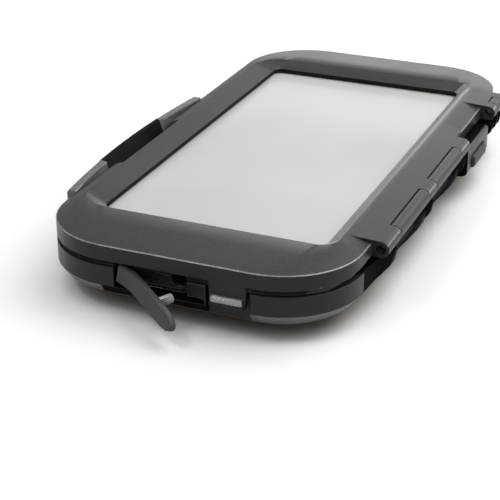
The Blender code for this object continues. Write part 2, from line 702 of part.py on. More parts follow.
def back_cuts():
    """Camera opening with its rebate, and the blind bores for the threaded inserts."""
    centre = (CAMERA_X, CAMERA_Y)
    half_x, half_y = CAMERA_HALF_WIDTH, CAMERA_HALF_LENGTH
    cuts = [plate("camera_hole", half_x, half_y, half_y - 0.5 * MM, -MM, FLOOR_TOP + MM, centre, 6)]
    wide = CAMERA_REBATE
    rebate = (half_x + wide, half_y + wide, half_y + wide - 0.5 * MM)
    cuts.append(plate("camera_rebate", *rebate, SHELL_BOTTOM + 0.8 * MM, FLOOR_TOP + MM, centre, 6))
    for i, (x, y) in enumerate(insert_places()):
        deep = ((x, y, -MM), (x, y, INSERT_LENGTH + 2 * GAP))
        cuts.append(rod(f"insert_bore_{i}", INSERT_RADIUS + GAP, *deep))
    return cuts


def insert_places():
    half_x, half_y = INSERT_SPACING_X / 2, INSERT_SPACING_Y / 2
    return [(-half_x, -half_y), (half_x, -half_y), (-half_x, half_y), (half_x, half_y)]


def buttons():
    """(name, side, middle) of each button, with side +1 on the hinge side."""
    volume_down = LATCH_END + VOLUME_FROM_LATCH
    return [
        ("power_button", 1, (GUARD_START + GUARD_END) / 2),
        ("volume_down_button", -1, volume_down),
        ("volume_up_button", -1, volume_down + VOLUME_SPACING),
    ]


def button_cuts():
    """A stepped hole through the side wall for each button and its inner flange."""
    cuts = []
    stages = (
        ("hole", GAP, AXIS_X + 6 * MM),
        ("step", BUTTON_FLANGE + GAP, CAVITY_HALF_WIDTH + BUTTON_SEAT),
    )
    for name, side, y in buttons():
        half_y, half_z = BUTTON_LENGTH / 2, BUTTON_HEIGHT / 2
        inner = side * (CAVITY_HALF_WIDTH - MM)
        for label, grow, to in stages:
            span = sorted((inner, side * to))
            section = outline(half_y + grow, half_z + grow, half_z + grow - 0.4 * MM, 0, steps=4)
            profile = [(p.x + y, p.y + BUTTON_Z) for p in section]
            cuts.append(prism(f"{name}_{label}", profile, "X", span[0], span[1]))
    return cuts


def shell_cores():
    """Pockets that keep the end walls even in thickness, open upwards under the frame."""
    inner = CAVITY_HALF_LENGTH + GROOVE_OFFSET + GROOVE_WIDTH + 1.2 * MM
    near = ((-24 * MM, -4 * MM), (4 * MM, 24 * MM))
    far = ((-24 * MM, -9 * MM), (-7 * MM, 7 * MM), (9 * MM, 24 * MM))
    cuts = []
    for label, spans, side in (("near", near, -1), ("far", far, 1)):
        for i, (low, high) in enumerate(spans):
            ys = sorted((side * inner, side * (inner + 2.6 * MM)))
            corner, opposite = (low, ys[0], FLOOR_TOP), (high, ys[1], WALL_TOP + MM)
            cuts.append(box(f"core_{label}_{i}", corner, opposite))
    return cuts


def latch_lever(finish):
    """The side latch: two bars that clip beside the frame and a flared pull tab between."""
    inner = -(HALF_WIDTH + LATCH_CLEARANCE)
    outer = -(HALF_WIDTH + LATCH_OUTER)
    hook = outer + BAR_WIDTH
    base = PIVOT_Z + 0.3 * MM
    top = CREST_Z - 0.7 * MM
    middle = (LATCH_START + LATCH_END) / 2
    half = (LATCH_END - LATCH_START) / 2

    def bar(bow):
        return [
            (inner, base),
            (outer - 0.3 * bow, base),
            (outer - bow, top - 0.8 * MM),
            (outer - bow + 0.5 * MM, top),
            (hook - bow - 0.3 * MM, top),
            (hook - bow, top - 0.3 * MM),
            (hook - bow, top - 1.5 * MM),
            (inner, top - 2.4 * MM),
        ]

    def tab(bow):
        return [
            (inner, base),
            (outer - 0.3 * bow, base),
            (outer - 0.5 * bow, top - 4.0 * MM),
            (outer - bow - 0.2 * MM, top - 0.5 * MM),
            (outer - bow + 0.3 * MM, top),
            (outer - bow + 1.2 * MM, top - 0.3 * MM),
            (outer - 0.5 * bow + 1.5 * MM, top - 4.0 * MM),
            (inner, top - 5.0 * MM),
        ]

    stations = []
    steps = 5
    edges = (LATCH_START, LATCH_START + BAR_LENGTH, LATCH_END - BAR_LENGTH, LATCH_END)
    for section, low, high in ((bar, *edges[:2]), (tab, *edges[1:3]), (bar, *edges[2:])):
        for i in range(steps + 1):
            y = low + GAP + (high - low - 2 * GAP) * i / steps
            bow = LATCH_BOW * (1 - ((y - middle) / half) ** 2)
            stations.append([Vector((x, y, z)) for x, z in section(bow)])
    lever = loft("latch_lever", stations, finish=finish)
    ends = ((PIVOT_X, LATCH_START + GAP, PIVOT_Z), (PIVOT_X, LATCH_END - GAP, PIVOT_Z))
    join(lever, rod("latch_knuckle", LATCH_KNUCKLE_RADIUS, ends[0], ends[1], 16))
    bore = ((PIVOT_X, LATCH_START - MM, PIVOT_Z), (PIVOT_X, LATCH_END + MM, PIVOT_Z))
    cut(lever, rod("lever_bore", LATCH_PIN_RADIUS + GAP, *bore, 16))
    smooth(lever)
    return lever


def port_liner(finish):
    """The rubber liner at the back of the pocket, with sealing ribs round its hole."""
    low_x, high_x = POCKET_LEFT + GAP, POCKET_RIGHT - GAP
    low_z, high_z = POCKET_FLOOR + GAP, SKIRT_Z - GAP
    half_x, half_z = (high_x - low_x) / 2, (high_z - low_z) / 2
    middle = ((low_x + high_x) / 2, (low_z + high_z) / 2)
    face = POCKET_BACK - GAP - LINER_THICKNESS

    def loop(shrink, radius, y):
        flat = outline(half_x - shrink, half_z - shrink, radius, 0, steps=4)
        return [Vector((p.x + middle[0], y, p.y + middle[1])) for p in flat]

    liner = loft("port_liner", [loop(0, 2 * MM, face), loop(0, 2 * MM, POCKET_BACK - GAP)], finish=finish)
    for i, shrink in enumerate((0.35 * MM, 1.15 * MM)):
        radius = 2 * MM - shrink / 2
        rib = [
            loop(shrink, radius, face + 0.2 * MM),
            loop(shrink, radius, face - 0.35 * MM),
            loop(shrink + 0.35 * MM, radius - 0.3 * MM, face - 0.35 * MM),
            loop(shrink + 0.35 * MM, radius - 0.3 * MM, face + 0.2 * MM),
        ]
        join(liner, loft(f"liner_rib_{i}", rib, ring=True))
    mouth, throat = (PORT_X, face - 0.5 * MM, PORT_Z), (PORT_X, POCKET_BACK - GAP + 0.1 * MM, PORT_Z)
    cut(liner, rod("liner_funnel", PORT_MOUTH_RADIUS, mouth, throat, 24, end_radius=PORT_RADIUS))
    smooth(liner)
    return liner


def port_flap(finish):
    """The rubber strap with its plug, made shut and then swung open on its root."""
    root = Vector((POCKET_LEFT + GAP + FLAP_ROOT_RADIUS, FRONT_Y + FLAP_ROOT_INSET, 0))
    root.z = (POCKET_FLOOR + SKIRT_Z) / 2 + 0.35 * MM
    pivot = bpy.data.objects.new("flap_pivot", None)
    pivot.location = root
    parts.objects.link(pivot)
    steps = 12
    peg_x = PORT_X - root.x
    peg_z = PORT_Z - root.z
    loops = []
    at = Vector((-0.45 * FLAP_ROOT_RADIUS, 0, 0))
    for i in range(steps + 1):
        t = i / steps
        heading = math.radians(FLAP_ROOT_HEADING_DEG + FLAP_BEND_DEG * min(1, t / 0.35))
        along = Vector((math.cos(heading), -math.sin(heading), 0))
        side = Vector((math.sin(heading), math.cos(heading), 0))
        if i:
            at = at + along * FLAP_LENGTH / steps
        if at.x < peg_x:
            peg_y = at.y - math.tan(heading) * (peg_x - at.x)
        tip = max(0.0, (t - 0.84) / 0.16)
        height = FLAP_HEIGHT / 2 * math.sqrt(max(0.12, 1 - tip * tip))
        thick = FLAP_THICKNESS / 2 * (1 - 0.25 * tip)
        edge = 0.35 * MM
        droop = FLAP_DROOP * t * t
        half = (
            (-thick, -height + edge),
            (-thick + edge, -height),
            (thick - edge, -height),
            (thick, -height + edge),
        )
        section = half + tuple((-a, -b) for a, b in half)
        loops.append([at + side * a + Vector((0, 0, b - droop)) for a, b in section])
    flap = loft("port_flap", loops, finish=finish)
    inner_y = peg_y + FLAP_THICKNESS / 2
    peg = ((peg_x, peg_y, peg_z), (peg_x, inner_y + PEG_LENGTH, peg_z))
    join(flap, rod("flap_peg", PEG_RADIUS, *peg, 20))
    nub_x, nub_z = peg_x + NUB_RADIUS, -FLAP_HEIGHT / 2 + NUB_RADIUS
    nub = ((nub_x, peg_y, nub_z), (nub_x, inner_y + NUB_RADIUS, nub_z))
    join(flap, rod("flap_nub", NUB_RADIUS, *nub, 10))
    helpers_of = [bpy.data.objects["flap_peg"], bpy.data.objects["flap_nub"]]
    for obj in (flap, *helpers_of):
        obj.parent = pivot
    pivot.rotation_mode = "QUATERNION"
    opened = Matrix.Rotation(math.radians(-FLAP_OPEN_DEG), 4, FLAP_AXIS)
    pivot.rotation_quaternion = opened.to_quaternion()
    smooth(flap)
    return flap


def button(name, side, y, finish):
    """A rubber key: domed face outside, body through the wall and a flange inside it."""
    half_y, half_z = BUTTON_LENGTH / 2, BUTTON_HEIGHT / 2
    proud = HALF_WIDTH + BUTTON_PROUD + (GUARD_REACH if side > 0 else 0)
    stop = CAVITY_HALF_WIDTH + BUTTON_SEAT - GAP
    stations = (
        (stop - 1.0 * MM, BUTTON_FLANGE),
        (stop, BUTTON_FLANGE),
        (stop, 0.0),
        (proud - 0.6 * MM, 0.0),
        (proud, -0.8 * MM),
    )
    loops = []
    for x, grow in stations:
        section = outline(half_y + grow, half_z + grow, half_z + grow - 0.4 * MM, 0, steps=4)
        loops.append([Vector((side * x, y + p.x, BUTTON_Z + p.y)) for p in section])
    key = loft(name, loops, finish=finish)
    smooth(key)
    return key


def small_parts(finishes):
    margin = MEMBRANE_MARGIN
    plate(
        "window_membrane",
        WINDOW_HALF_WIDTH + margin,
        WINDOW_HALF_LENGTH + margin,
        WINDOW_RADIUS + margin / 2,
        MEMBRANE_TOP - MEMBRANE_THICKNESS,
        MEMBRANE_TOP,
        steps=6,
        finish=finishes["clear"],
    )
    seal_low = WALL_TOP - GROOVE_DEPTH + GAP
    band("lid_seal", *groove_rings(GAP), seal_low, FRAME_UNDER_Z - GAP, finish=finishes["seal"])
    half_x, half_y = CAVITY_HALF_WIDTH - PAD_INSET, CAVITY_HALF_LENGTH - PAD_INSET
    pad = plate(
        "back_pad",
        half_x,
        half_y,
        CAVITY_RADIUS - PAD_INSET,
        FLOOR_TOP + GAP,
        FLOOR_TOP + PAD_THICKNESS,
        steps=5,
        finish=finishes["pad"],
    )
    clear = CAMERA_REBATE + MM
    hole = (CAMERA_HALF_WIDTH + clear, CAMERA_HALF_LENGTH + clear, CAMERA_HALF_LENGTH + clear - MM)
    cut(pad, plate("pad_hole", *hole, 0, CREST_Z, (CAMERA_X, CAMERA_Y), 6))
    for sx in (-1, 1):
        for sy, label in ((-1, "near"), (1, "far")):
            name = f"side_bumper_{label}_{'left' if sx < 0 else 'right'}"
            side_bumper(name, sx, sy, finishes["foam"])
    grow = CAMERA_REBATE - GAP
    plate(
        "camera_window",
        CAMERA_HALF_WIDTH + grow,
        CAMERA_HALF_LENGTH + grow,
        CAMERA_HALF_LENGTH + grow - 0.5 * MM,
        SHELL_BOTTOM + 0.8 * MM + GAP,
        FLOOR_TOP,
        (CAMERA_X, CAMERA_Y),
        6,
        finishes["clear"],
    )
    for label, start, lengths in (
        ("long", LONG_BARREL_START, LONG_BARREL),
        ("short", SHORT_BARREL_START, SHORT_BARREL),
    ):
        ends = (start + PIN_RECESS, start + sum(lengths) - PIN_RECESS)
        axis_rod(f"hinge_pin_{label}", PIN_RADIUS, *ends, 16, finishes["steel"])
    near = (PIVOT_X, LATCH_START - EAR_THICKNESS, PIVOT_Z)
    far = (PIVOT_X, LATCH_END + EAR_THICKNESS, PIVOT_Z)
    rod("latch_pin", LATCH_PIN_RADIUS, near, far, 12, finishes["steel"])
    for i, (x, y) in enumerate(insert_places()):
        ends = ((x, y, GAP), (x, y, INSERT_LENGTH + GAP))
        bush = rod(f"threaded_insert_{i + 1}", INSERT_RADIUS, *ends, 20, finishes["brass"])
        bore = ((x, y, -MM), (x, y, INSERT_LENGTH + MM))
        cut(bush, rod(f"thread_{i + 1}", INSERT_BORE, *bore, 14))


def side_bumper(name, side_x, side_y, finish):
    """A foam block on the side wall, near each corner of the phone space."""
    x = side_x * (CAVITY_HALF_WIDTH - GAP - BUMPER_THICKNESS / 2)
    y = side_y * (CAVITY_HALF_LENGTH - CAVITY_RADIUS - BUMPER_LENGTH / 2)
    low, high = FLOOR_TOP + PAD_THICKNESS + GAP, WALL_TOP - GAP
    half = BUMPER_THICKNESS / 2
    plate(name, half, BUMPER_LENGTH / 2, 0.4 * half, low, high, (x, y), 2, finish)


def main():
    global parts, helpers
    clear_scene()
    parts = new_collection("hard phone case")
    helpers = new_collection("cutters")
    finishes = {
        "shell": material("shell plastic", (0.035, 0.035, 0.033), 0.45),
        "latch": material("latch plastic", (0.04, 0.04, 0.038), 0.4),
        "clear": material("clear sheet", (0.75, 0.77, 0.78), 0.08, alpha=0.35),
        "seal": material("seal rubber", (0.02, 0.02, 0.02), 0.7),
        "flap": material("flap rubber", (0.11, 0.11, 0.115), 0.6),
        "pad": material("pale pad", (0.66, 0.66, 0.66), 0.9),
        "foam": material("foam", (0.03, 0.03, 0.03), 0.95),
        "steel": material("pin steel", (0.6, 0.6, 0.6), 0.3, 1.0),
        "brass": material("insert brass", (0.72, 0.5, 0.2), 0.35, 1.0),
    }
    front_frame(finishes["shell"])
    back_shell(finishes["shell"])
    latch_lever(finishes["latch"])
    port_liner(finishes["seal"])
    port_flap(finishes["flap"])
    for name, side, y in buttons():
        button(name, side, y, finishes["seal"])
    small_parts(finishes)


main()
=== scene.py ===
import json
import math

import bmesh
import bpy
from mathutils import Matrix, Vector


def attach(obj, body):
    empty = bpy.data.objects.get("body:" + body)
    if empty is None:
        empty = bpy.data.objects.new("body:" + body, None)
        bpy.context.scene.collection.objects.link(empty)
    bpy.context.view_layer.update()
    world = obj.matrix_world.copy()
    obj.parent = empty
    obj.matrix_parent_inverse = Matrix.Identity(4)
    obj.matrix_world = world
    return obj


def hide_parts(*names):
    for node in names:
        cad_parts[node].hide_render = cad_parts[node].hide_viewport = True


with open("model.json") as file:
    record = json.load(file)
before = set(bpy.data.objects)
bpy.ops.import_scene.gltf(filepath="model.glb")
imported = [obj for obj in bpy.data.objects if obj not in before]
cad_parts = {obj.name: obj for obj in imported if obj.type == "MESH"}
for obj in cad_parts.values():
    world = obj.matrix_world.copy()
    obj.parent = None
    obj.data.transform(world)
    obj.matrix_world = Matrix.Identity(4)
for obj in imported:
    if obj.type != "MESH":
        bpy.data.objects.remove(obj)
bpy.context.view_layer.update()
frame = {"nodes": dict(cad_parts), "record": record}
mm = 0.001
print("frame loaded")

# Everything below is in the case's own frame: +X to the hinge, +Y away from the port end, +Z up.


# Shader groups. Each gives out only a value, a mask or a normal, for a material to use.
def newGroup(name, inputs, outputs):
    group = bpy.data.node_groups.new(name, "ShaderNodeTree")
    for label, kind, value in inputs:
        socket = group.interface.new_socket(name=label, in_out="INPUT", socket_type=kind)
        socket.default_value = value
    for label, kind in outputs:
        group.interface.new_socket(name=label, in_out="OUTPUT", socket_type=kind)
    return group, group.nodes.new("NodeGroupInput"), group.nodes.new("NodeGroupOutput")


def mathNode(nodes, links, operation, a, b):
    node = nodes.new("ShaderNodeMath")
    node.operation = operation
    for i, value in enumerate((a, b)):
        if isinstance(value, (int, float)):
            node.inputs[i].default_value = value
        else:
            links.new(value, node.inputs[i])
    return node.outputs[0]


def placeGroup(nodes, group, **values):
    node = nodes.new("ShaderNodeGroup")
    node.node_tree = group
    for label, value in values.items():
        node.inputs[label.replace("_", " ")].default_value = value
    return node


grainSetup = {"fineDetail": 3.0, "fineRoughness": 0.6, "slowDetail": 2.0}


def buildMouldedGrain():
    # fine spark-eroded texture of a moulding, with slow patches of more and less gloss
    group, inp, out = newGroup(
        "mouldedGrain",
        [("Grain Size", "NodeSocketFloat", 2600.0), ("Patch Size", "NodeSocketFloat", 45.0)],
        [("Height", "NodeSocketFloat"), ("Patch", "NodeSocketFloat")],
    )
    nodes, links = group.nodes, group.links
    coord = nodes.new("ShaderNodeTexCoord")
    fine = nodes.new("ShaderNodeTexNoise")
    fine.inputs["Detail"].default_value = grainSetup["fineDetail"]
    fine.inputs["Roughness"].default_value = grainSetup["fineRoughness"]
    links.new(coord.outputs["Object"], fine.inputs["Vector"])
    links.new(inp.outputs["Grain Size"], fine.inputs["Scale"])
    slow = nodes.new("ShaderNodeTexNoise")
    slow.inputs["Detail"].default_value = grainSetup["slowDetail"]
    links.new(coord.outputs["Object"], slow.inputs["Vector"])
    links.new(inp.outputs["Patch Size"], slow.inputs["Scale"])
    links.new(fine.outputs["Fac"], out.inputs["Height"])
    links.new(slow.outputs["Fac"], out.inputs["Patch"])
    return group


speckSetup = {"radius": 0.14}  # share of a cell that one speck fills


def buildDustSpecks():
    # sparse pale specks, as on a case that has been handled
    group, inp, out = newGroup(
        "dustSpecks",
        [("Density", "NodeSocketFloat", 0.03), ("Size", "NodeSocketFloat", 900.0)],
        [("Mask", "NodeSocketFloat")],
    )
    nodes, links = group.nodes, group.links
    coord = nodes.new("ShaderNodeTexCoord")
    cells = nodes.new("ShaderNodeTexVoronoi")
    cells.inputs["Randomness"].default_value = 1.0
    links.new(coord.outputs["Object"], cells.inputs["Vector"])
    links.new(inp.outputs["Size"], cells.inputs["Scale"])
    near = mathNode(nodes, links, "LESS_THAN", cells.outputs["Distance"], speckSetup["radius"])
    pick = nodes.new("ShaderNodeSeparateColor")
    links.new(cells.outputs["Color"], pick.inputs["Color"])
    chosen = mathNode(nodes, links, "LESS_THAN", pick.outputs[0], inp.outputs["Density"])
    links.new(mathNode(nodes, links, "MULTIPLY", near, chosen), out.inputs["Mask"])
    return group


edgeSetup = {"samples": 6, "gain": 4.0}  # the gain turns a slight change of normal into a full mask


def buildSoftEdge():
    # the small radius that a mould leaves on every edge, and a mask of where it turns
    group, inp, out = newGroup(
        "softEdge",
        [("Radius", "NodeSocketFloat", 0.0003)],
        [("Normal", "NodeSocketVector"), ("Edge", "NodeSocketFloat")],
    )
    nodes, links = group.nodes, group.links
    bevel = nodes.new("ShaderNodeBevel")
    bevel.samples = edgeSetup["samples"]
    links.new(inp.outputs["Radius"], bevel.inputs["Radius"])
    plain = nodes.new("ShaderNodeNewGeometry")
    turn = nodes.new("ShaderNodeVectorMath")
    turn.operation = "DOT_PRODUCT"
    links.new(bevel.outputs["Normal"], turn.inputs[0])
    links.new(plain.outputs["Normal"], turn.inputs[1])
    away = mathNode(nodes, links, "SUBTRACT", 1.0, turn.outputs["Value"])
    links.new(mathNode(nodes, links, "MULTIPLY", away, edgeSetup["gain"]), out.inputs["Edge"])
    links.new(bevel.outputs["Normal"], out.inputs["Normal"])
    return group


mouldedGrain = buildMouldedGrain()
dustSpecks = buildDustSpecks()
softEdge = buildSoftEdge()


# Materials.
def principled(name):
    made = bpy.data.materials.new(name)
    made.use_nodes = True
    return made, made.node_tree.nodes, made.node_tree.links, made.node_tree.nodes["Principled BSDF"]


def ramp(nodes, links, source, low, high, start=0.35, end=0.65):
    node = nodes.new("ShaderNodeValToRGB")
    node.color_ramp.elements[0].position = start
    node.color_ramp.elements[0].color = (*low, 1.0)
    node.color_ramp.elements[1].position = end
    node.color_ramp.elements[1].color = (*high, 1.0)
    links.new(source, node.inputs["Fac"])
    return node.outputs["Color"]


def spread(nodes, links, source, low, high, start=0.3, end=0.7):
    node = nodes.new("ShaderNodeMapRange")
    node.inputs["From Min"].default_value = start
    node.inputs["From Max"].default_value = end
    node.inputs["To Min"].default_value = low
    node.inputs["To Max"].default_value = high
    links.new(source, node.inputs["Value"])
    return node.outputs["Result"]


def mixColour(nodes, links, factor, first, second):
    node = nodes.new("ShaderNodeMix")
    node.data_type = "RGBA"
    links.new(factor, node.inputs["Factor"])
    links.new(first, node.inputs["A"])
    node.inputs["B"].default_value = (*second, 1.0)
    return node.outputs["Result"]


def lighter(colour, times):
    return [channel * times for channel in colour]


def bumpFrom(nodes, links, look, height):
    bump = nodes.new("ShaderNodeBump")
    bump.inputs["Strength"].default_value = look["bump"]
    bump.inputs["Distance"].default_value = look["bumpDepth"]
    links.new(height, bump.inputs["Height"])
    return bump


def mouldedPlastic(name, look):
    made, nodes, links, shader = principled(name)
    grain = placeGroup(nodes, mouldedGrain, Grain_Size=look["grainSize"], Patch_Size=look["patchSize"])
    specks = placeGroup(nodes, dustSpecks, Density=look["dust"], Size=look["dustSize"])
    edge = placeGroup(nodes, softEdge, Radius=look["edge"])
    colour = look["colour"]
    base = ramp(nodes, links, grain.outputs["Patch"], colour, lighter(colour, look["patchLift"]))
    worn = mathNode(nodes, links, "MULTIPLY", edge.outputs["Edge"], look["wear"])
    worn = mathNode(nodes, links, "MINIMUM", worn, 1.0)
    base = mixColour(nodes, links, worn, base, lighter(colour, look["wearLift"]))
    poreTone = (look["pores"],) * 3
    pores = ramp(nodes, links, grain.outputs["Height"], (0, 0, 0), poreTone, *look["poreHeights"])
    base = mixColour(nodes, links, pores, base, lighter(colour, look["poreLift"]))
    base = mixColour(nodes, links, specks.outputs["Mask"], base, look["dustColour"])
    links.new(base, shader.inputs["Base Color"])
    dull = spread(nodes, links, grain.outputs["Patch"], *look["roughness"])
    burnish = mathNode(nodes, links, "MULTIPLY", worn, look["burnish"])
    dull = mathNode(nodes, links, "SUBTRACT", dull, burnish)
    links.new(mathNode(nodes, links, "MAXIMUM", dull, look["glossLimit"]), shader.inputs["Roughness"])
    bump = bumpFrom(nodes, links, look, grain.outputs["Height"])
    links.new(edge.outputs["Normal"], bump.inputs["Normal"])
    links.new(bump.outputs["Normal"], shader.inputs["Normal"])
    shader.inputs["IOR"].default_value = look["ior"]
    return made


def windowFilm(name, look):
    made, nodes, links, shader = principled(name)
    grain = placeGroup(nodes, mouldedGrain, Grain_Size=look["grainSize"], Patch_Size=look["patchSize"])
    base = ramp(nodes, links, grain.outputs["Patch"], look["colour"], look["pale"])
    links.new(base, shader.inputs["Base Color"])
    links.new(spread(nodes, links, grain.outputs["Patch"], *look["roughness"]), shader.inputs["Roughness"])
    bump = bumpFrom(nodes, links, look, grain.outputs["Patch"])
    links.new(bump.outputs["Normal"], shader.inputs["Normal"])
    shader.inputs["Alpha"].default_value = look["alpha"]
    shader.inputs["IOR"].default_value = look["ior"]
    return made


def plainMetal(name, look):
    made, nodes, links, shader = principled(name)
    grain = placeGroup(nodes, mouldedGrain, Grain_Size=look["grainSize"], Patch_Size=look["patchSize"])
    base = ramp(nodes, links, grain.outputs["Patch"], look["colour"], look["tint"])
    links.new(base, shader.inputs["Base Color"])
    shader.inputs["Metallic"].default_value = 1.0
    shader.inputs["Roughness"].default_value = look["roughness"]
    return made


# the case's own satin plastic; every other moulded finish names only what differs from it
plasticLook = {
    "colour": (0.021, 0.0215, 0.018),
    "patchLift": 1.2,
    "grainSize": 2400.0,
    "patchSize": 40.0,
    "pores": 0.45,
    "poreHeights": (0.5, 0.68),
    "poreLift": 3.5,
    "roughness": (0.34, 0.4),
    "glossLimit": 0.12,
    "bump": 1.0,
    "bumpDepth": 0.03 * mm,
    "dust": 0.003,
    "dustSize": 420.0,
    "dustColour": (0.06, 0.06, 0.056),
    "edge": 0.35 * mm,
    "wear": 1.0,
    "wearLift": 2.0,
    "burnish": 0.2,
    "ior": 1.5,
}
# painted light: the latch coloured lighter than the case's plastic, standing in for the light on its bars'
# tops
latchPaintedLightLook = {
    **plasticLook,
    "colour": (0.09, 0.09, 0.086),
    "roughness": (0.3, 0.36),
    "ior": 1.55,
}
# painted highlight: the window's bevel on the hinge side, coloured paler to stand in for the light it
# catches
bevelHighlightLook = {
    **plasticLook,
    "colour": (0.13, 0.13, 0.125),
    "roughness": (0.26, 0.3),
    "bump": 0.3,
    "ior": 1.6,
}
# painted highlight: the lid's top-edge chamfer and the latch's tip chamfers, coloured pale to stand in for
# the bright line of light along them
edgeHighlightLook = {
    **plasticLook,
    "colour": (0.17, 0.17, 0.165),
    "roughness": (0.16, 0.2),
    "bump": 0.1,
    "edge": 0.06 * mm,
    "ior": 1.6,
}
# painted reflection: the shell's turned-in underside band coloured paler, standing in for the lit floor it
# reflects
underReflectionLook = {**plasticLook, "colour": (0.11, 0.11, 0.107), "roughness": (0.28, 0.32)}
# painted shade: the upright sides, coloured darker for the shade on them, and smoother
skirtShadeLook = {
    **plasticLook,
    "colour": (0.01, 0.01, 0.0105),
    "roughness": (0.28, 0.34),
    "bump": 0.4,
    "pores": 0.2,
    "ior": 1.38,
}
# painted highlight: the tab bead coloured pale, standing in for the bright lines of light on it
beadHighlightLook = {
    **plasticLook,
    "colour": (0.24, 0.24, 0.24),
    "roughness": (0.14, 0.18),
    "bump": 0.2,
    "ior": 1.6,
}
# painted highlight: the flap's peg coloured pale, standing in for the light on its cap
pegHighlightLook = {
    **plasticLook,
    "colour": (0.4, 0.4, 0.405),
    "roughness": (0.4, 0.5),
    "pores": 0.1,
    "dust": 0.0,
}
# painted shade: the pull tab's top and inner faces coloured near black, for the shade on them
tabShadeLook = {
    **plasticLook,
    "colour": (0.006, 0.006, 0.006),
    "roughness": (0.5, 0.6),
    "ior": 1.12,
}
# painted shade: deep matt black put on the pocket's walls and the scalloped wall under the hinge, where
# shade falls
shadeLook = {
    **plasticLook,
    "colour": (0.004, 0.004, 0.004),
    "roughness": (0.4, 0.5),
    "dust": 0.0,
    "ior": 1.06,
}
sealLook = {
    **plasticLook,
    "colour": (0.012, 0.011, 0.008),
    "roughness": (0.22, 0.26),
    "dust": 0.0,
    "ior": 1.5,
}
# the lid seal's own dark rubber, and painted shade on the thin wall round the window
gasketAndShadeLook = {**sealLook, "roughness": (0.5, 0.6), "ior": 1.12}
keyLook = {
    **plasticLook,
    "colour": (0.012, 0.012, 0.011),
    "roughness": (0.45, 0.5),
    "dust": 0.0,
}
flapLook = {
    **plasticLook,
    "colour": (0.036, 0.036, 0.038),
    "roughness": (0.45, 0.55),
    "pores": 0.08,
    "dust": 0.0,
}
foamLook = {
    **plasticLook,
    "colour": (0.03, 0.03, 0.03),
    "roughness": (0.9, 1.0),
    "grainSize": 900.0,
    "bump": 1.0,
}
feltLook = {
    **plasticLook,
    "colour": (0.7, 0.7, 0.7),
    "patchLift": 1.03,
    "roughness": (0.9, 1.0),
    "grainSize": 1200.0,
    "bump": 0.8,
    "dust": 0.0,
    "wear": 0.0,
    "pores": 0.0,
    "burnish": 0.0,
}
filmLook = {
    "colour": (0.56, 0.565, 0.56),
    "pale": (0.6, 0.605, 0.6),
    "roughness": (0.2, 0.26),
    "grainSize": 900.0,
    "patchSize": 22.0,
    "bump": 0.05,
    "bumpDepth": 0.2 * mm,
    "alpha": 0.92,
    "ior": 1.5,
}
lensLook = {
    **filmLook,
    "colour": (0.7, 0.72, 0.73),
    "pale": (0.74, 0.76, 0.77),
    "roughness": (0.04, 0.06),
    "alpha": 0.25,
}
steelLook = {
    "colour": (0.5, 0.5, 0.5),
    "tint": (0.6, 0.6, 0.6),
    "roughness": 0.3,
    "grainSize": 3000.0,
    "patchSize": 400.0,
}
brassLook = {**steelLook, "colour": (0.62, 0.44, 0.18), "tint": (0.72, 0.52, 0.24), "roughness": 0.32}
finishes = {
    "shell": mouldedPlastic("shellPlastic", plasticLook),
    "bevel": mouldedPlastic("bevelPaintedHighlight", bevelHighlightLook),
    "skirt": mouldedPlastic("skirtPaintedShade", skirtShadeLook),
    "bead": mouldedPlastic("beadPaintedHighlight", beadHighlightLook),
    "edgeHighlight": mouldedPlastic("paintedEdgeHighlight", edgeHighlightLook),
    "under": mouldedPlastic("undersidePaintedReflection", underReflectionLook),
    "peg": mouldedPlastic("pegPaintedHighlight", pegHighlightLook),
    "latch": mouldedPlastic("latchPaintedLight", latchPaintedLightLook),
    "tab": mouldedPlastic("pullTabPaintedShade", tabShadeLook),
    "sealAndWallShade": mouldedPlastic("sealAndPaintedShade", gasketAndShadeLook),
    "shade": mouldedPlastic("shadedPlastic", shadeLook),
    "seal": mouldedPlastic("sealRubber", sealLook),
    "key": mouldedPlastic("keyRubber", keyLook),
    "flap": mouldedPlastic("flapRubber", flapLook),
    "foam": mouldedPlastic("foam", foamLook),
    "felt": mouldedPlastic("paleFelt", feltLook),
    "film": windowFilm("windowFilm", filmLook),
    "lens": windowFilm("lensSheet", lensLook),
    "steel": plainMetal("pinSteel", steelLook),
    "brass": plainMetal("insertBrass", brassLook),
}
print("materials made")


# Pieces. A copied piece keeps its CAD solid's own faces, welded and smoothed.
copySetup = {
    "weldGap": 0.002 * mm,
    "flatAngle": 0.4,  # degrees below which two faces become one
    "sharpAngle": 32,  # degrees above which an edge stays sharp
    "shadeWeight": 80,
    "edgeSegments": 3,
    "edgeAngle": 30,
}


def linkPiece(name, bm, finish, body, replaced):
    mesh = bpy.data.meshes.new(name)
    bm.to_mesh(mesh)
    bm.free()
    piece = bpy.data.objects.new(name, mesh)
    bpy.context.scene.collection.objects.link(piece)
    for key in finish:
        mesh.materials.append(finishes[key])
    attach(piece, body)
    if replaced:
        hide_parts(*replaced)
    return piece


def smoothByAngle(piece, degrees):
    for face in piece.data.polygons:
        face.use_smooth = True
    piece.data.set_sharp_from_angle(angle=math.radians(degrees))
    weighted = piece.modifiers.new("evenShade", "WEIGHTED_NORMAL")
    weighted.keep_sharp = True
    weighted.weight = copySetup["shadeWeight"]


def weldedMesh(nodeName, merge=True):
    bm = bmesh.new()
    bm.from_mesh(frame["nodes"][nodeName].data)
    bmesh.ops.remove_doubles(bm, verts=bm.verts, dist=copySetup["weldGap"])
    if merge:
        flat = math.radians(copySetup["flatAngle"])
        bmesh.ops.dissolve_limit(bm, angle_limit=flat, verts=bm.verts, edges=bm.edges)
    bm.normal_update()
    return bm


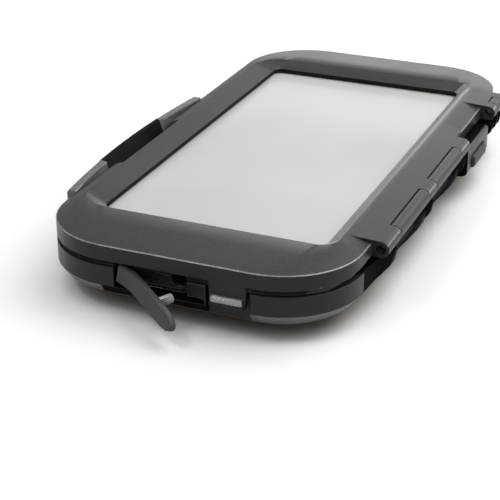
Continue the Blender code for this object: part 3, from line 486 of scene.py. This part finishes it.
def faceTraits(face):
    # what a zone can ask of a face: its centre and its reach along Y in mm, and its normal
    at, normal = face.calc_center_median() / mm, face.normal
    ys = [corner.co.y / mm for corner in face.verts]
    return {
        "x": at.x,
        "y": at.y,
        "z": at.z,
        "absX": abs(at.x),
        "absY": abs(at.y),
        "normalX": normal.x,
        "normalZ": normal.z,
        "lowY": min(ys),
        "highY": max(ys),
    }


def within(traits, limits):
    return all(low < traits[key] < high for key, (low, high) in limits.items())


def paintZones(bm, spec):
    # a later zone goes over an earlier one
    for face in bm.faces:
        traits = faceTraits(face)
        for zone in spec.get("zones", ()):
            if within(traits, zone["where"]) and not ("unless" in zone and within(traits, zone["unless"])):
                face.material_index = spec["finish"].index(zone["finish"])


def roundedCopy(spec):
    bm = weldedMesh(spec["node"], spec.get("merge", True))
    paintZones(bm, spec)
    piece = linkPiece(spec["name"], bm, spec["finish"], spec["body"], [spec["node"]])
    if spec.get("width"):
        edge = piece.modifiers.new("softenedEdges", "BEVEL")
        edge.width = spec["width"]
        edge.segments = copySetup["edgeSegments"]
        edge.limit_method = "ANGLE"
        edge.angle_limit = math.radians(copySetup["edgeAngle"])
        edge.harden_normals = False
    smoothByAngle(piece, spec.get("angle", copySetup["sharpAngle"]))
    return piece


far = 1000.0  # mm, past every piece: the open end of a range

# upright sides at the near end, on the latch side and round the near corner by the hinge, which get the
# skirt's painted shade
upright = {"normalZ": (-0.5, 0.5), "z": (-far, 18.7)}
skirtShadeZones = [
    {"finish": "skirt", "where": {**upright, "y": (-far, -79.0)}},
    {"finish": "skirt", "where": {**upright, "x": (-far, -40.0)}},
    {"finish": "skirt", "where": {**upright, "x": (30.0, far), "y": (-far, -50.0)}},
]
# the turned-in band between the shell's side and its back, which gets a paler painted reflection of the lit
# floor
turnedIn = {"normalZ": (-far, -0.15), "z": (3.05, 7.6)}
shellCopy = {
    "node": "back_shell",
    "name": "shellBody",
    "body": "case",
    "slot": "shell_plastic",
    "finish": ["shell", "shade", "skirt", "under"],
    "zones": [
        *skirtShadeZones,
        # painted reflection: the paler underside colour on the turned-in band
        {"finish": "under", "where": {**turnedIn, "absX": (34.85, far)}},
        {"finish": "under", "where": {**turnedIn, "absY": (70.55, far)}},
        {
            "finish": "shade",  # painted shade: the scalloped wall and arms, but not the power key's guard
            "where": {"x": (41.3, far), "z": (3.5, 16.2)},
            "unless": {"x": (44.0, far), "y": (19.0, 44.0)},
        },
        {
            "finish": "shade",  # painted shade: inside the port pocket
            "where": {"x": (-17.5, 13.5), "y": (-82.4, -78.0), "z": (6.0, 15.0)},
        },
    ],
}
roundedCopy(shellCopy)

frameCopy = {
    "node": "front_frame",
    "name": "lidFrame",
    "body": "lid",
    "slot": "shell_plastic",
    "finish": ["shell", "sealAndWallShade", "bevel", "skirt", "edgeHighlight"],
    "zones": [
        *skirtShadeZones,
        {
            "finish": "sealAndWallShade",  # painted shade: the thin wall round the window
            "where": {"x": (-31.4, 31.4), "y": (-61.4, 61.4), "z": (16.0, far), "normalZ": (-0.5, 0.5)},
        },
        {
            "finish": "bevel",  # painted highlight: the slope between window and hinge rail
            "where": {"x": (30.9, 37.5), "z": (16.6, far), "normalX": (-far, -0.08), "normalZ": (0.3, far)},
        },
        {
            "finish": "edgeHighlight",  # painted highlight: the small chamfer along the top edge
            "where": {"z": (18.3, 18.65), "normalZ": (0.55, 0.85)},
        },
    ],
}
roundedCopy(frameCopy)

latchCopy = {
    "node": "latch_lever",
    "name": "latchLever",
    "body": "latch",
    "slot": "latch_plastic",
    "finish": ["latch", "tab", "edgeHighlight"],
    "zones": [
        {
            "finish": "tab",  # painted shade: top and inner faces of the pull tab, between the bars
            "where": {"lowY": (-36.0, far), "highY": (-far, 0.1), "z": (12.0, far), "normalX": (-0.3, far)},
        },
        {
            "finish": "edgeHighlight",  # painted highlight: chamfers at the near bar's tip
            "where": {"highY": (-far, -53.3), "z": (18.8, far), "normalZ": (0.5, far)},
        },
    ],
}
roundedCopy(latchCopy)

flapCopy = {
    "node": "port_flap",
    "name": "portFlap",
    "body": "flap",
    "slot": "flap_rubber",
    "finish": ["flap", "peg"],
    "merge": False,
    # painted highlight: the peg's pale colour
    "zones": [{"finish": "peg", "where": {"x": (-2.2, far), "y": (-87.6, far)}}],
}
roundedCopy(flapCopy)

linerCopy = {
    "node": "port_liner",
    "name": "portLiner",
    "body": "case",
    "slot": "seal_rubber",
    "finish": ["seal"],
    "merge": False,
}
roundedCopy(linerCopy)

sealCopy = {
    "node": "lid_seal",
    "name": "lidSeal",
    "body": "case",
    "slot": "seal_rubber",
    "finish": ["sealAndWallShade"],
    "width": 0.3 * mm,
    "angle": 50,
}
roundedCopy(sealCopy)

keyCopy = {"slot": "seal_rubber", "finish": ["key"]}
for node, name, body in (
    ("power_button", "powerKey", "power_key"),
    ("volume_down_button", "volumeDownKey", "volume_down_key"),
    ("volume_up_button", "volumeUpKey", "volume_up_key"),
):
    roundedCopy({**keyCopy, "node": node, "name": name, "body": body})
print("hard pieces copied")


def paddedCopy(spec):
    # a die-cut soft piece: the CAD block remeshed, its edges pressed round, its faces left a little uneven
    bm = weldedMesh(spec["node"])
    piece = linkPiece(spec["name"], bm, [spec["finish"]], "case", [spec["node"]])
    voxels = piece.modifiers.new("voxels", "REMESH")
    voxels.mode = "VOXEL"
    voxels.voxel_size = spec["voxel"]
    voxels.use_smooth_shade = True
    pressed = piece.modifiers.new("pressedRound", "SMOOTH")
    pressed.factor = spec["press"]
    pressed.iterations = spec["rounds"]
    clouds = bpy.data.textures.new(spec["name"] + "Lumps", "CLOUDS")
    clouds.noise_scale = spec["lumpSize"]
    uneven = piece.modifiers.new("uneven", "DISPLACE")
    uneven.texture = clouds
    uneven.strength = spec["lump"]
    uneven.mid_level = 1.0  # inward only
    return piece


padSpec = {
    "node": "back_pad",
    "name": "feltPad",
    "finish": "felt",
    "slot": "pale_pad",
    "voxel": 0.7 * mm,
    "press": 0.5,
    "rounds": 4,
    "lump": 0.12 * mm,
    "lumpSize": 3.0 * mm,
    "fill": 0.9,
}
paddedCopy(padSpec)

bumperSpec = {
    "finish": "foam",
    "slot": "foam",
    "voxel": 0.22 * mm,
    "press": 0.5,
    "rounds": 3,
    "lump": 0.04 * mm,
    "lumpSize": 1.2 * mm,
    "fill": 0.8,
}
for place in ("near_left", "near_right", "far_left", "far_right"):
    side = "".join(word.capitalize() for word in place.split("_"))
    paddedCopy({**bumperSpec, "node": "side_bumper_" + place, "name": "sideBumper" + side})
print("soft pieces made")


def tabBead(spec):
    # the finger bead along the snap tab's foot: a bar of rounded section with rounded ends
    bm = bmesh.new()
    rings = []
    steps, around, power = spec["steps"], spec["around"], spec["power"]
    for i in range(steps + 1):
        x = spec["left"] + (spec["right"] - spec["left"]) * i / steps
        fromEnd = min(x - spec["left"], spec["right"] - x)
        scale = math.sqrt(max(spec["tip"], 1 - max(0.0, 1 - fromEnd / spec["endRadius"]) ** 2))
        ring = []
        for k in range(around):
            turn = 2 * math.pi * k / around
            across, up = math.cos(turn), math.sin(turn)
            squareness = (abs(across) ** power + abs(up) ** power) ** (-1 / power)
            y = spec["middle"][0] + spec["half"][0] * across * squareness * scale
            z = spec["middle"][1] + spec["half"][1] * up * squareness * scale
            ring.append(bm.verts.new((x, y, z)))
        rings.append(ring)
    for first, second in zip(rings, rings[1:]):
        for k in range(around):
            after = (k + 1) % around
            bm.faces.new((first[k], first[after], second[after], second[k]))
    bm.faces.new(list(reversed(rings[0])))
    bm.faces.new(rings[-1])
    bmesh.ops.recalc_face_normals(bm, faces=bm.faces)
    piece = linkPiece(spec["name"], bm, ["bead"], "lid", [])
    smoothByAngle(piece, spec["angle"])
    return piece


beadSpec = {
    "name": "tabBead",
    "left": 9.75 * mm,
    "right": 18.35 * mm,
    "middle": (-83.45 * mm, 10.15 * mm),
    "half": (0.8 * mm, 0.85 * mm),
    "power": 3,  # 2 is a round section, more is squarer
    "endRadius": 0.7 * mm,
    "tip": 0.05,  # how blunt the ends stay
    "steps": 48,
    "around": 28,
    "angle": 50,
}
tabBead(beadSpec)
print("bead made")


# The CAD nodes that stay as they are get their finish by the record's slot.
finishOfSlot = {
    "shell_plastic": "shell",
    "latch_plastic": "latch",
    "seal_rubber": "seal",
    "flap_rubber": "flap",
    "foam": "foam",
    "pale_pad": "felt",
    "pin_steel": "steel",
    "insert_brass": "brass",
}
finishOfNode = {"window_membrane": "film", "camera_window": "lens"}
for part in frame["record"]["subparts"]:
    node = frame["nodes"][part["node"]]
    key = finishOfNode.get(part["node"]) or finishOfSlot[part["material_slot"]]
    node.data.materials.clear()
    node.data.materials.append(finishes[key])
print("nodes dressed")


# Camera, floor and light.
cameraSetup = {
    "place": (138.461, -363.972, 171.631),
    "azimuth": 22.862,
    "elevation": 25.743,
    "lens": 104.0,
    "sensor": 36.0,
    "clipStart": 0.01,
}
camera = bpy.data.objects.new("camera", bpy.data.cameras.new("camera"))
camera.data.sensor_width = cameraSetup["sensor"]
camera.data.lens = cameraSetup["lens"]
camera.data.clip_start = cameraSetup["clipStart"]
camera.location = Vector(cameraSetup["place"]) * mm
tilt, pan = math.radians(90 - cameraSetup["elevation"]), math.radians(cameraSetup["azimuth"])
camera.rotation_euler = (tilt, 0, pan)
bpy.context.scene.collection.objects.link(camera)
bpy.context.scene.camera = camera

floorSetup = {
    "half": 3.0,
    "colour": (0.74, 0.735, 0.725),
    "shade": (0.36, 0.28, 0.22),  # painted shadow: warm and dark, close under the case
    "shadeReach": 10.0 * mm,
    "shadeSamples": 8,
    "shadeRamp": (0.1, 0.65),
    "roughness": 0.5,
    "lift": 0.24,
    "liftColour": (0.94, 0.98, 1.0),
}


def buildFloor(spec):
    bm = bmesh.new()
    bmesh.ops.create_grid(bm, x_segments=1, y_segments=1, size=spec["half"])
    mesh = bpy.data.meshes.new("floor")
    bm.to_mesh(mesh)
    bm.free()
    floor = bpy.data.objects.new("floor", mesh)
    bpy.context.scene.collection.objects.link(floor)
    made, nodes, links, shader = principled("paleFloor")
    # painted shadow: ambient occlusion darkens the floor's colour and dims its camera-only glow close under
    # the case
    corner = nodes.new("ShaderNodeAmbientOcclusion")
    corner.samples = spec["shadeSamples"]
    corner.inputs["Distance"].default_value = spec["shadeReach"]
    tone = ramp(nodes, links, corner.outputs["AO"], spec["shade"], spec["colour"], *spec["shadeRamp"])
    links.new(tone, shader.inputs["Base Color"])
    shader.inputs["Roughness"].default_value = spec["roughness"]
    path = nodes.new("ShaderNodeLightPath")
    bright = spread(nodes, links, corner.outputs["AO"], 0.0, spec["lift"])
    lift = mathNode(nodes, links, "MULTIPLY", path.outputs["Is Camera Ray"], bright)
    shader.inputs["Emission Color"].default_value = (*spec["liftColour"], 1.0)
    links.new(lift, shader.inputs["Emission Strength"])
    mesh.materials.append(made)


worldSetup = {"colour": (0.98, 0.99, 1.0), "strength": 0.5, "seen": (1.0, 1.0, 1.0)}


def buildWorld(spec):
    # soft light on the case, and plain white where the camera looks past the floor
    world = bpy.data.worlds.new("studio")
    world.use_nodes = True
    bpy.context.scene.world = world
    nodes, links = world.node_tree.nodes, world.node_tree.links
    back = nodes["Background"]
    back.inputs["Color"].default_value = (*spec["colour"], 1.0)
    back.inputs["Strength"].default_value = spec["strength"]
    white = nodes.new("ShaderNodeBackground")
    white.inputs["Color"].default_value = (*spec["seen"], 1.0)
    path = nodes.new("ShaderNodeLightPath")
    mix = nodes.new("ShaderNodeMixShader")
    direct, through = path.outputs["Is Camera Ray"], path.outputs["Is Transmission Ray"]
    links.new(mathNode(nodes, links, "MAXIMUM", direct, through), mix.inputs["Fac"])
    links.new(back.outputs["Background"], mix.inputs[1])
    links.new(white.outputs["Background"], mix.inputs[2])
    links.new(mix.outputs["Shader"], nodes["World Output"].inputs["Surface"])


def areaLight(spec):
    light = bpy.data.lights.new(spec["name"], "AREA")
    light.shape = "RECTANGLE"
    light.size, light.size_y = spec["size"]
    light.energy = spec["power"]
    lamp = bpy.data.objects.new(spec["name"], light)
    lamp.location = spec["place"]
    lamp.rotation_euler = (Vector(spec["aim"]) - Vector(spec["place"])).to_track_quat("-Z", "Y").to_euler()
    lamp.visible_camera = False
    bpy.context.scene.collection.objects.link(lamp)


overheadSoftbox = {
    "name": "overheadSoftbox",
    "place": (0.42, 0.35, 0.85),
    "aim": (0, 0, 0),
    "size": (0.9, 0.9),
    "power": 8.5,
}
frontStrip = {
    "name": "frontStrip",
    "place": (-0.33, -0.42, 0.82),
    "aim": (0, 0, 0),
    "size": (0.35, 0.09),
    "power": 1.4,
}
backSoftbox = {
    "name": "backSoftbox",
    "place": (-0.02, 1.27, 0.29),
    "aim": (0, 0, 0.01),
    "size": (1.2, 0.28),
    "power": 2.2,
}
buildFloor(floorSetup)
buildWorld(worldSetup)
for lampSpec in (overheadSoftbox, frontStrip, backSoftbox):
    areaLight(lampSpec)
bpy.context.scene.view_settings.view_transform = "Standard"
print("camera and light set")
